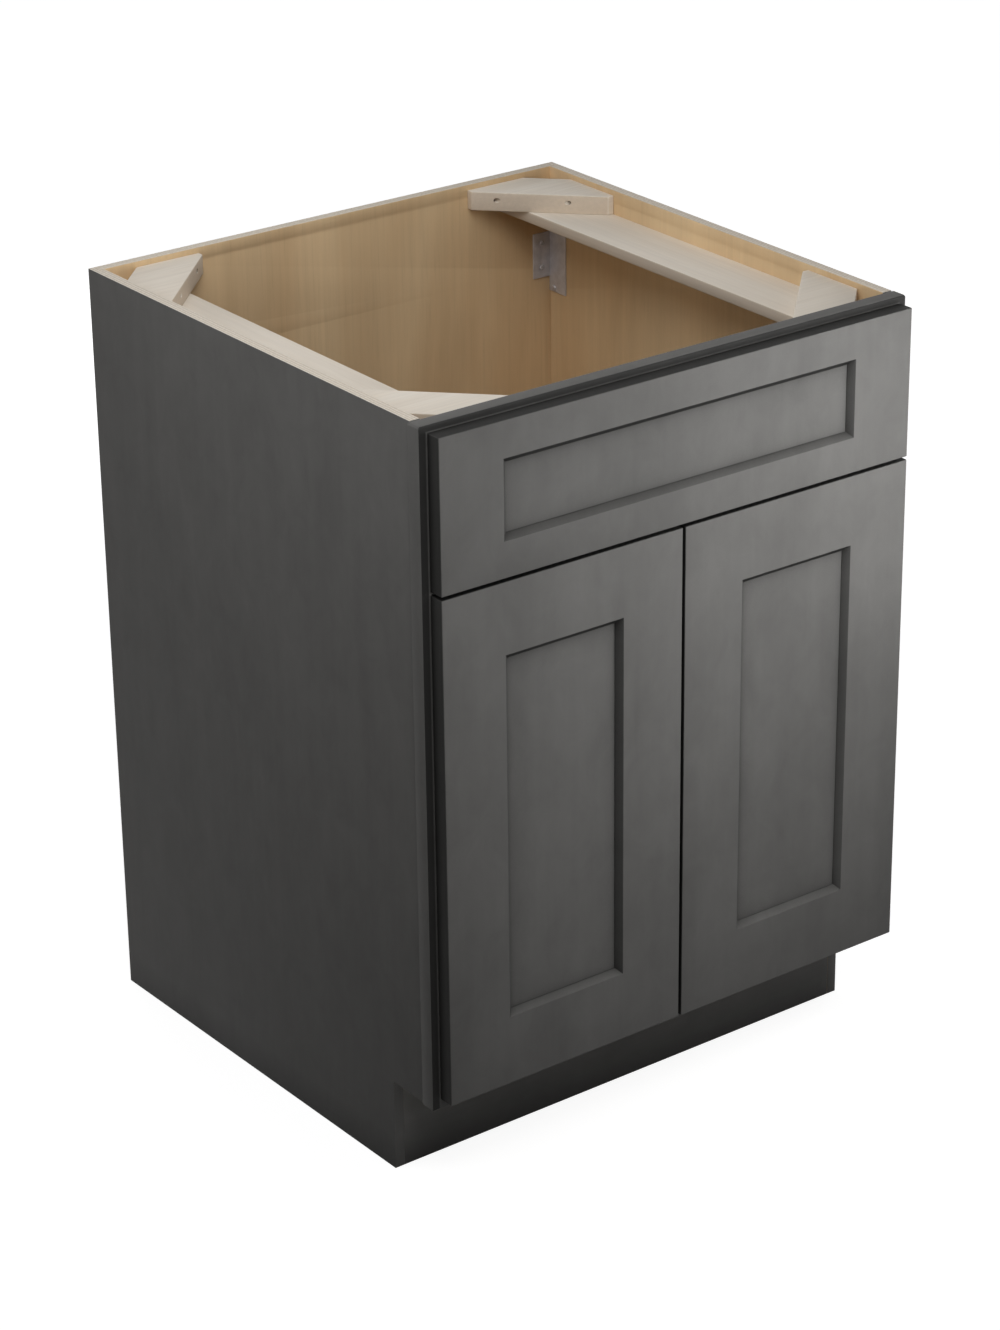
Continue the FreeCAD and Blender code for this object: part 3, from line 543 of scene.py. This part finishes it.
def joinFlatFaces(shape):
    bmesh.ops.dissolve_limit(shape, angle_limit=radians(near["angle"]), use_dissolve_boundaries=False,
                             verts=shape.verts, edges=shape.edges)


def mergedCopy(node):
    # a copy of a CAD node with its loose triangles merged into flat faces
    shape = bmesh.new()
    shape.from_mesh(nodes[node].data)
    bmesh.ops.remove_doubles(shape, verts=shape.verts, dist=near["cadPoint"])
    joinFlatFaces(shape)
    return shape


def looseBoxes(node):
    # lowest and highest corner of each separate solid in a node, in a fixed order
    shape = mergedCopy(node)
    waiting = set(shape.verts)
    boxes = []
    while waiting:
        reached = {waiting.pop()}
        border = list(reached)
        while border:
            beside = {other for link in border.pop().link_edges for other in link.verts} - reached
            reached |= beside
            border += beside
        waiting -= reached
        spots = [vert.co for vert in reached]
        boxes.append((Vector([min(spot[axis] for spot in spots) for axis in range(3)]),
                      Vector([max(spot[axis] for spot in spots) for axis in range(3)])))
    shape.free()
    return sorted(boxes, key=lambda box: tuple(round(value, 5) for value in box[0]))


def easeEdges(shape, width, segments=2, angle=40, wanted=None):
    edges = [edge for edge in shape.edges if len(edge.link_faces) == 2
             and edge.calc_face_angle(0) > radians(angle) and (wanted is None or wanted(edge))]
    bmesh.ops.bevel(shape, geom=edges, offset=width, offset_type="OFFSET", segments=segments, profile=0.5,
                    affect="EDGES", clamp_overlap=True, material=-1)


def easedNode(node, width):
    shape = mergedCopy(node)
    easeEdges(shape, width)
    finishPiece(node + "_eased", shape, dressNode(node), [node])


def cutAway(shape, cutter):
    # what is left of a shape when the cutter is taken out of it
    blank = newObject("blank", asMesh("blank", shape))
    tool = newObject("cutter", asMesh("cutter", cutter))
    change = blank.modifiers.new("cut", "BOOLEAN")
    change.solver = "EXACT"
    change.operation = "DIFFERENCE"
    change.object = tool
    left = bmesh.new()
    left.from_object(blank, bpy.context.evaluated_depsgraph_get())
    for item in (blank, tool):
        mesh = item.data
        bpy.data.objects.remove(item)
        bpy.data.meshes.remove(mesh)
    return left


def addBlock(shape, low, high):
    middle = (Vector(low) + Vector(high)) / 2
    size = Vector(high) - Vector(low)
    place = Matrix.Translation(middle) @ Matrix.Diagonal((*size, 1))
    bmesh.ops.create_cube(shape, size=1, matrix=place)


def turnTo(way, axis="Z"):
    # turns an axis to a direction
    return Vector(way).to_track_quat(axis, "Y").to_matrix().to_4x4()


def addRound(shape, start, way, radius, length, segments=24):
    # a round bar from start, along the direction way
    place = Matrix.Translation(Vector(start) + Vector(way) * length / 2) @ turnTo(way)
    bmesh.ops.create_cone(shape, cap_ends=True, segments=segments, radius1=radius, radius2=radius,
                          depth=length, matrix=place)


def addTurned(shape, profile, place, segments=32):
    # a profile of (radius, height) points spun about Z, then moved to its place
    part = bmesh.new()
    points = [part.verts.new((radius, 0, height)) for radius, height in profile]
    lines = [part.edges.new(pair) for pair in zip(points, points[1:])]
    bmesh.ops.spin(part, geom=points + lines, cent=(0, 0, 0), axis=(0, 0, 1), angle=radians(360),
                   steps=segments, use_merge=True)
    bmesh.ops.remove_doubles(part, verts=part.verts, dist=near["point"])
    bmesh.ops.recalc_face_normals(part, faces=part.faces)
    bmesh.ops.transform(part, matrix=place, verts=part.verts)
    joinInto(shape, part)


def joinInto(shape, part):
    mesh = asMesh("joined", part)
    shape.from_mesh(mesh)
    bpy.data.meshes.remove(mesh)


def vertsIn(items):
    return [item for item in items if isinstance(item, bmesh.types.BMVert)]


def extrude(shape, faces, way):
    made = bmesh.ops.extrude_face_region(shape, geom=faces)["geom"]
    bmesh.ops.translate(shape, verts=vertsIn(made), vec=way)
    bmesh.ops.recalc_face_normals(shape, faces=shape.faces)


def middleOf(node):
    low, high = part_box(node)
    return (low + high) / 2


# face frame, in one piece because the paint hides its joints

faceFrame = {
    "nodes": ["left_stile", "right_stile", "top_rail", "middle_rail", "bottom_rail"],
    "edge": 0.0008,
    "corner": 0.003,  # the two corners at the top
    "cornerSteps": 4,
    "openRows": (1, 3),  # the doorway, and the opening behind the false front
}


def makeFaceFrame():
    boxes = {name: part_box(name) for name in faceFrame["nodes"]}
    left, right = boxes["left_stile"], boxes["right_stile"]
    across = [left[0].x, left[1].x, right[0].x, right[1].x]
    rail = boxes["middle_rail"]
    up = [left[0].z, boxes["bottom_rail"][1].z, rail[0].z, rail[1].z, boxes["top_rail"][0].z, left[1].z]
    shape = bmesh.new()
    grid = [[shape.verts.new((x, left[0].y, z)) for x in across] for z in up]
    for row in range(len(up) - 1):
        for column in range(len(across) - 1):
            if column == 1 and row in faceFrame["openRows"]:
                continue
            lower, upper = grid[row], grid[row + 1]
            shape.faces.new((lower[column], lower[column + 1], upper[column + 1], upper[column]))
    extrude(shape, shape.faces[:], (0, left[1].y - left[0].y, 0))
    joinFlatFaces(shape)

    def atTopCorner(edge):
        return all(abs(abs(vert.co.x) - abs(left[0].x)) < near["length"]
                   and abs(vert.co.z - left[1].z) < near["length"] for vert in edge.verts)

    easeEdges(shape, faceFrame["corner"], faceFrame["cornerSteps"], wanted=atTopCorner)
    easeEdges(shape, faceFrame["edge"])
    finishPiece("face_frame", shape, paintFrame, faceFrame["nodes"])


# fronts: stiles and rails in one piece round each panel

front = {
    "slope": 0.007,  # depth and width of the bevel round the panel
    "panel": 0.006,
    "groove": 0.010,
    "edge": 0.0010,
    "edgeSteps": 3,
    "edgeAngle": 60,  # degrees, so that the bevels round the panel stay sharp
    "boreRadius": 0.0175,
    "boreDepth": 0.0125,
    "boreSides": 64,
}


def sweptFrame(shape, low, high, rings):
    # four edges drawn through a list of rings, each with its insets across and up and its depth
    middle = (low + high) / 2

    def ringSpot(vert, ring):
        across, up, depth = ring
        return Vector((low.x + across if vert.co.x < middle.x else high.x - across, low.y + depth,
                       low.z + up if vert.co.z < middle.z else high.z - up))

    corners = [shape.verts.new((x, low.y, z)) for x, z in
               ((low.x, low.z), (high.x, low.z), (high.x, high.z), (low.x, high.z))]
    edges = [shape.edges.new((corners[step - 1], corners[step])) for step in range(4)]
    for vert in corners:
        vert.co = ringSpot(vert, rings[0])
    for ring in rings[1:] + rings[:1]:
        made = bmesh.ops.extrude_edge_only(shape, edges=edges)["geom"]
        moved = set(vertsIn(made))
        edges = [item for item in made if isinstance(item, bmesh.types.BMEdge) and set(item.verts) <= moved]
        for vert in moved:
            vert.co = ringSpot(vert, ring)
    bmesh.ops.remove_doubles(shape, verts=shape.verts, dist=near["point"])


def makeFront(name, replaced, cups=()):
    boxes = {node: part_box(node) for node in replaced}
    low = Vector([min(box[0][axis] for box in boxes.values()) for axis in range(3)])
    high = Vector([max(box[1][axis] for box in boxes.values()) for axis in range(3)])
    slope, groove = front["slope"], front["groove"]
    stile = boxes[replaced[0]][1].x - low.x - slope
    rail = boxes[replaced[-1]][1].z - low.z - slope
    behind = slope + front["panel"]
    back = high.y - low.y
    inside = ((0, 0), (slope, slope), (slope - groove, slope), (slope - groove, behind), (slope, behind),
              (slope, back))
    rings = [(0, 0, 0), *((stile + inset, rail + inset, depth) for inset, depth in inside), (0, 0, back)]
    shape = bmesh.new()
    sweptFrame(shape, low, high, rings)
    bmesh.ops.recalc_face_normals(shape, faces=shape.faces)
    easeEdges(shape, front["edge"], front["edgeSteps"], front["edgeAngle"])
    if cups:
        bores = bmesh.new()
        for node in cups:
            middle = middleOf(node)
            start = (middle.x, high.y + front["edge"], middle.z)
            addRound(bores, start, (0, -1, 0), front["boreRadius"], front["boreDepth"] + front["edge"],
                     front["boreSides"])
        shape = cutAway(shape, bores)
    finishPiece(name, shape, paintFront, replaced)


# screws: a head with a cross in it, a shank and a point

screws = {
    "corner_block_screws": {"head": 0.0024, "thick": 0.0018, "shank": 0.0017, "sunk": False},
    "bracket_screws": {"head": 0.0034, "thick": 0.0018, "shank": 0.0016, "sunk": False},
    "false_front_clip_screws": {"head": 0.0036, "thick": 0.0018, "shank": 0.0017, "sunk": False},
    "hinge_arm_screws": {"head": 0.0034, "thick": 0.0018, "shank": 0.0017, "sunk": False},
    "left_hinge_cup_screws": {"head": 0.0034, "thick": 0.0019, "shank": 0.0016, "sunk": True},
    "right_hinge_cup_screws": {"head": 0.0034, "thick": 0.0019, "shank": 0.0016, "sunk": True},
}

screwShape = {  # heads and crosses in shares of a head's radius and thickness
    "sunkHead": ((0, 0), (0.96, 0), (1, 0.12)),
    "panHead": ((0, -1), (0.45, -0.96), (0.8, -0.78), (0.97, -0.4), (1, -0.1), (0.97, 0)),
    "point": 3,  # its length in radii of the shank
    "crossReach": 0.62,
    "crossWidth": 0.11,
    "crossDepth": 0.55,
    "sides": 20,
    "turn": 37,  # degrees from one cross to the next, so that no two stand alike
}


def screwPattern(screw, length):
    # points along Z, its seat at 0 for a pan head and its top at 0 for a sunk one
    head, thick, shank = screw["head"], screw["thick"], screw["shank"]
    kind, top, neck = ("sunkHead", 0, thick) if screw["sunk"] else ("panHead", -thick, 0)
    profile = [(head * out, thick * down) for out, down in screwShape[kind]]
    profile += [(shank, neck), (shank, length - screwShape["point"] * shank), (0, length)]
    shape = bmesh.new()
    addTurned(shape, profile, Matrix(), screwShape["sides"])
    arm, slit = head * screwShape["crossReach"], head * screwShape["crossWidth"]
    deep = thick * screwShape["crossDepth"]
    for across, along in ((arm, slit), (slit, arm)):
        bar = bmesh.new()
        addBlock(bar, (-across, -along, top - deep), (across, along, top + deep))
        shape = cutAway(shape, bar)
    return shape


def screwSpots(node, thick, sunk):
    # the seat, the direction and the length of each screw. All of them point away from the middle
    spots = []
    for low, high in looseBoxes(node):
        size = high - low
        axis = max(range(3), key=lambda index: size[index])
        middle = (low + high) / 2
        sign = 1 if middle[axis] > 0 else -1
        way = Vector([sign if index == axis else 0 for index in range(3)])
        seat = middle.copy()
        seat[axis] = low[axis] if sign > 0 else high[axis]
        length = size[axis]
        if not sunk:
            seat += way * thick
            length -= thick
        spots.append((seat, way, length))
    return spots


def makeScrews(node):
    screw = screws[node]
    spots = screwSpots(node, screw["thick"], screw["sunk"])
    pattern = asMesh("screwPattern", screwPattern(screw, spots[0][2]))
    shape = bmesh.new()
    for order, (seat, way, _) in enumerate(spots):
        one = bmesh.new()
        one.from_mesh(pattern)
        spun = Matrix.Rotation(radians(screwShape["turn"] * order), 4, "Z")
        bmesh.ops.transform(one, matrix=Matrix.Translation(seat) @ turnTo(way) @ spun, verts=one.verts)
        joinInto(shape, one)
    bpy.data.meshes.remove(pattern)
    finishPiece(node + "_crossed", shape, dressNode(node), [node])
    return spots


# corner blocks with round pocket bores

block = {
    "blunt": 0.040,  # cut off at the corner behind
    "tip": 0.008,  # left at the ends of the long side
    "edge": 0.0009,
    "edgeSteps": 3,
    "edgeAngle": 30,  # degrees
    "bore": 0.0026,
    "boreLength": 0.06,
    "seatReach": 0.01,  # how far outside the block a seat of one of its screws may lie
}


def makeCornerBlock(node, spots):
    low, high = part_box(node)
    middle = (low + high) / 2
    signs = [1 if middle[axis] > 0 else -1 for axis in (0, 1)]
    corner = [high[axis] if signs[axis] > 0 else low[axis] for axis in (0, 1)]
    leg = high.x - low.x
    blunt, tip = block["blunt"], block["tip"]
    outline = [(blunt, 0), (leg, 0), (leg, tip), (tip, leg), (0, leg), (0, blunt)]
    shape = bmesh.new()
    face = shape.faces.new([shape.verts.new((corner[0] - signs[0] * x, corner[1] - signs[1] * y, low.z))
                            for x, y in outline])
    extrude(shape, [face], (0, 0, high.z - low.z))
    easeEdges(shape, block["edge"], block["edgeSteps"], block["edgeAngle"])
    bores = bmesh.new()
    reach = block["seatReach"]
    for seat, way, _ in spots:
        if all(low[axis] - reach < seat[axis] < high[axis] + reach for axis in range(3)):
            addRound(bores, seat, -way, block["bore"], block["boreLength"])
    finishPiece(node + "_bored", cutAway(shape, bores), blockWood, [node])


# soft bumpers: low domes, their points in shares of the radius and height

dome = ((0, 0), (1, 0), (1, 0.2), (0.93, 0.55), (0.72, 0.82), (0.4, 0.96), (0, 1))


def makeBumpers(node):
    shape = bmesh.new()
    for low, high in looseBoxes(node):
        radius = (high.x - low.x) / 2
        height = high.y - low.y
        middle = (low + high) / 2
        profile = [(radius * out, height * up) for out, up in dome]
        place = Matrix.Translation((middle.x, low.y, middle.z)) @ Matrix.Rotation(radians(-90), 4, "X")
        addTurned(shape, profile, place)
    finishPiece(node + "_domed", shape, rubber, [node])


# hinges

cup = {
    "radius": 0.0174,
    "wall": 0.0009,
    "depth": 0.0124,
    "rim": 0.0189,
    "plate": 0.0010,
    "round": 0.0026,  # between the wall and the floor
    "outerBelly": 0.3,  # how far the round's middle keeps from its corner, in shares of the round
    "innerBelly": 0.2,
    "lipSide": 0.6,  # the upright part of the rim's edge, in shares of the plate
    "lipEase": 0.4,
    "sides": 64,
    "corner": 0.005,
    "cornerSteps": 5,
    "wingReach": 0.028,
    "wingEdgeSide": 0.006,
    "wingDoorSide": 0.0145,
    "wingThick": 0.9,  # in shares of the plate, and so is its eased edge
    "wingEase": 0.25,
}


def makeCup(node):
    low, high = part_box(node)
    middle = (low + high) / 2
    mouth = high.y - cup["plate"]
    hand = 1 if middle.x < 0 else -1
    radius, wall, depth, rim, bend, plate = (cup[key] for key in
                                             ("radius", "wall", "depth", "rim", "round", "plate"))
    inner, floor = radius - wall, depth - wall
    belly = bend * cup["outerBelly"]
    lip, ease = plate * cup["lipSide"], cup["lipEase"]
    outside = [(0, depth), (radius - bend, depth), (radius - belly, depth - belly), (radius, depth - bend),
               (radius, 0), (rim, 0), (rim, -lip), (rim - plate * ease, -plate)]
    inside = [(inner + wall * ease, -plate), (inner, -lip), (inner, depth - bend),
              (inner - belly, floor - bend * cup["innerBelly"]), (inner - bend, floor), (0, floor)]
    shape = bmesh.new()
    place = Matrix.Translation((middle.x, mouth, middle.z)) @ Matrix.Rotation(radians(90), 4, "X")
    addTurned(shape, outside + inside, place, cup["sides"])

    def acrossPlate(edge):
        return abs(edge.verts[0].co.y - edge.verts[1].co.y) > near["length"]

    wings = bmesh.new()
    sides = sorted((middle.x - hand * cup["wingEdgeSide"], middle.x + hand * cup["wingDoorSide"]))
    reach, behind = cup["wingReach"], mouth + plate * cup["wingThick"]
    addBlock(wings, (sides[0], mouth, middle.z - reach), (sides[1], behind, middle.z + reach))
    easeEdges(wings, cup["corner"], cup["cornerSteps"], wanted=acrossPlate)
    easeEdges(wings, plate * cup["wingEase"])
    hole = bmesh.new()
    start = (middle.x, mouth - plate, middle.z)
    addRound(hole, start, (0, 1, 0), radius - wall / 2, plate * 4, cup["sides"])  # right through the wings
    joinInto(shape, cutAway(wings, hole))
    finishPiece(node + "_pressed", shape, nickel, [node])


pins = {
    "edge": 0.25,  # in shares of the pin's radius
    "edgeSteps": 2,
    "edgeAngle": 60,  # degrees
}


def makePins(node):
    shape = bmesh.new()
    for low, high in looseBoxes(node):
        middle = (low + high) / 2
        radius = (high.y - low.y) / 2
        start = (middle.x, middle.y, low.z)
        one = bmesh.new()
        addRound(one, start, (0, 0, 1), radius, high.z - low.z)
        easeEdges(one, radius * pins["edge"], pins["edgeSteps"], pins["edgeAngle"])
        joinInto(shape, one)
    finishPiece(node + "_round", shape, nickel, [node])


# all pieces

easedNodes = {  # the width of the eased edge
    "floor_panel": 0.0004, "back_panel": 0.0004, "left_side_panel": 0.0004, "right_side_panel": 0.0004,
    "toe_kick_board": 0.0005, "left_stretcher": 0.0009, "right_stretcher": 0.0009,
    "corner_bracket_left": 0.0004, "corner_bracket_right": 0.0004, "false_front_clips": 0.0003,
    "left_lower_hinge_arm": 0.0002, "left_upper_hinge_arm": 0.0002,
    "right_lower_hinge_arm": 0.0002, "right_upper_hinge_arm": 0.0002,
    "left_hinge_outer_links": 0.0002, "right_hinge_outer_links": 0.0002,
    "left_hinge_inner_links": 0.0002, "right_hinge_inner_links": 0.0002,
}

makeFaceFrame()
falseFront = ["left_stile", "right_stile", "top_rail", "bottom_rail"]
makeFront("false_front_frame", ["false_front_" + board for board in falseFront])
for side, stiles in (("left", ("hinge", "meeting")), ("right", ("meeting", "hinge"))):
    doorBoards = [stile + "_stile" for stile in stiles] + ["top_rail", "bottom_rail"]
    makeFront(side + "_door_frame", [f"{side}_door_{board}" for board in doorBoards],
              [f"{side}_{place}_hinge_cup" for place in ("lower", "upper")])
print("stage: frame and fronts")
for node, width in easedNodes.items():
    easedNode(node, width)
blockSpots = makeScrews("corner_block_screws")
for node in nodes:
    if node.startswith("corner_block_") and node != "corner_block_screws":
        makeCornerBlock(node, blockSpots)
    elif node in screws and node != "corner_block_screws":
        makeScrews(node)
    elif node.endswith(("_bumpers", "_pads")):
        makeBumpers(node)
    elif node.endswith("_cup"):
        makeCup(node)
    elif node.endswith("_pins"):
        makePins(node)
print("stage: boards, blocks, screws, hinges and bumpers")


# camera at the photograph's viewing angle

camera = {
    "place": (-2.3616, -3.15954, 2.21273),
    "turn": -38.844,
    "look": 25.456,
    "roll": 0.188,
    "lens": 139.377,
    "shift": (-0.12998, 0.07591),
    "sensor": 36,
    "sight": 100,
}


def makeCamera():
    data = bpy.data.cameras.new("viewCamera")
    data.sensor_fit = "HORIZONTAL"
    data.sensor_width = camera["sensor"]
    data.lens = camera["lens"]
    data.shift_x, data.shift_y = camera["shift"]
    data.clip_end = camera["sight"]
    place = Matrix.Translation(camera["place"])
    for degrees, axis in ((camera["turn"], "Z"), (90 - camera["look"], "X"), (camera["roll"], "Z")):
        place = place @ Matrix.Rotation(radians(degrees), 4, axis)
    scene.camera = newObject("viewCamera", data)
    scene.camera.matrix_world = place


makeCamera()


# studio

studio = {
    "floorSize": 30,
    "floorColour": (0.30, 0.30, 0.30),
    "floorRoughness": 0.9,
    "glow": (0.9, 1.0),  # of the floor, near and far
    "glowReach": (1.2, 3.0),
    "ambient": 0.03,
}

lamps = {
    "front": {"place": (-0.8, -1.0, 2.2), "aim": (0, 0, 0.6), "size": 1.2, "power": 11.9},
    "ahead": {"place": (-0.2, -2.4, 1.6), "aim": (0, -0.3, 0.8), "size": 1.0, "power": 2.6},
    "left": {"place": (-1.2, 0.2, 1.1), "aim": (-0.32, 0, 0.7), "size": 0.5, "power": 1.85},
    "over": {"place": (-1.6, -0.3, 1.5), "aim": (-0.32, 0, 0.8), "size": 0.8, "power": 0.45},
    "inside": {"place": (-0.15, 0.1, 1.6), "aim": (0.05, 0.1, 0.4), "size": 1.1, "power": 3.1},
    "high": {"place": (0.4, -0.75, 0.82), "aim": (0.2, -0.3, 0.7), "size": 0.3, "power": 2.45},
    "middle": {"place": (0.05, -0.9, 0.83), "aim": (0, -0.3, 0.75), "size": 0.3, "power": 1.25},
    "rear": {"place": (0.6, 2.6, 0.85), "aim": (0, 0.3, 0.5), "size": 1.5, "power": 22},
    "far": {"place": (2.6, 0.3, 0.85), "aim": (0.3, 0, 0.5), "size": 1.5, "power": 12},
}


def seenDirectly(tree):
    # 1 for rays that show the background itself, in glass and metal too
    path = add(tree, "ShaderNodeLightPath").outputs
    seen = combine(tree, path["Is Camera Ray"], path["Is Glossy Ray"], "MAXIMUM")
    return combine(tree, seen, path["Is Transmission Ray"], "MAXIMUM")


def makeFloor():
    shape = bmesh.new()
    bmesh.ops.create_grid(shape, x_segments=2, y_segments=2, size=studio["floorSize"] / 2)
    item = newObject("floor", asMesh("floor", shape))
    material, tree = startMaterial("paleFloor")
    shader = tree.nodes["Principled BSDF"]
    shader.inputs["Base Color"].default_value = (*studio["floorColour"], 1)
    shader.inputs["Roughness"].default_value = studio["floorRoughness"]
    shader.inputs["Specular IOR Level"].default_value = 0.0
    shader.inputs["Emission Color"].default_value = (1, 1, 1, 1)
    away = add(tree, "ShaderNodeVectorMath", {0: objectSpace(tree)}, operation="LENGTH").outputs["Value"]
    glow = spread(tree, away, *studio["glow"], *studio["glowReach"])
    plug(tree, combine(tree, seenDirectly(tree), glow), shader.inputs["Emission Strength"])
    item.data.materials.append(material)


def makeWorld():
    world = bpy.data.worlds.new("studio")
    world.use_nodes = True
    scene.world = world
    tree = world.node_tree
    colour = mixColours(tree, seenDirectly(tree), (studio["ambient"],) * 3, (1, 1, 1))
    plug(tree, colour, tree.nodes["Background"].inputs["Color"])


def makeLamps():
    for name, lamp in lamps.items():
        data = bpy.data.lights.new(name, "AREA")
        data.shape = "DISK"
        data.size = lamp["size"]
        data.energy = lamp["power"]
        way = Vector(lamp["aim"]) - Vector(lamp["place"])
        newObject(name, data).matrix_world = Matrix.Translation(lamp["place"]) @ turnTo(way, "-Z")


makeFloor()
makeWorld()
makeLamps()
scene.view_settings.view_transform = "Standard"
print("stage: camera, floor and lamps")
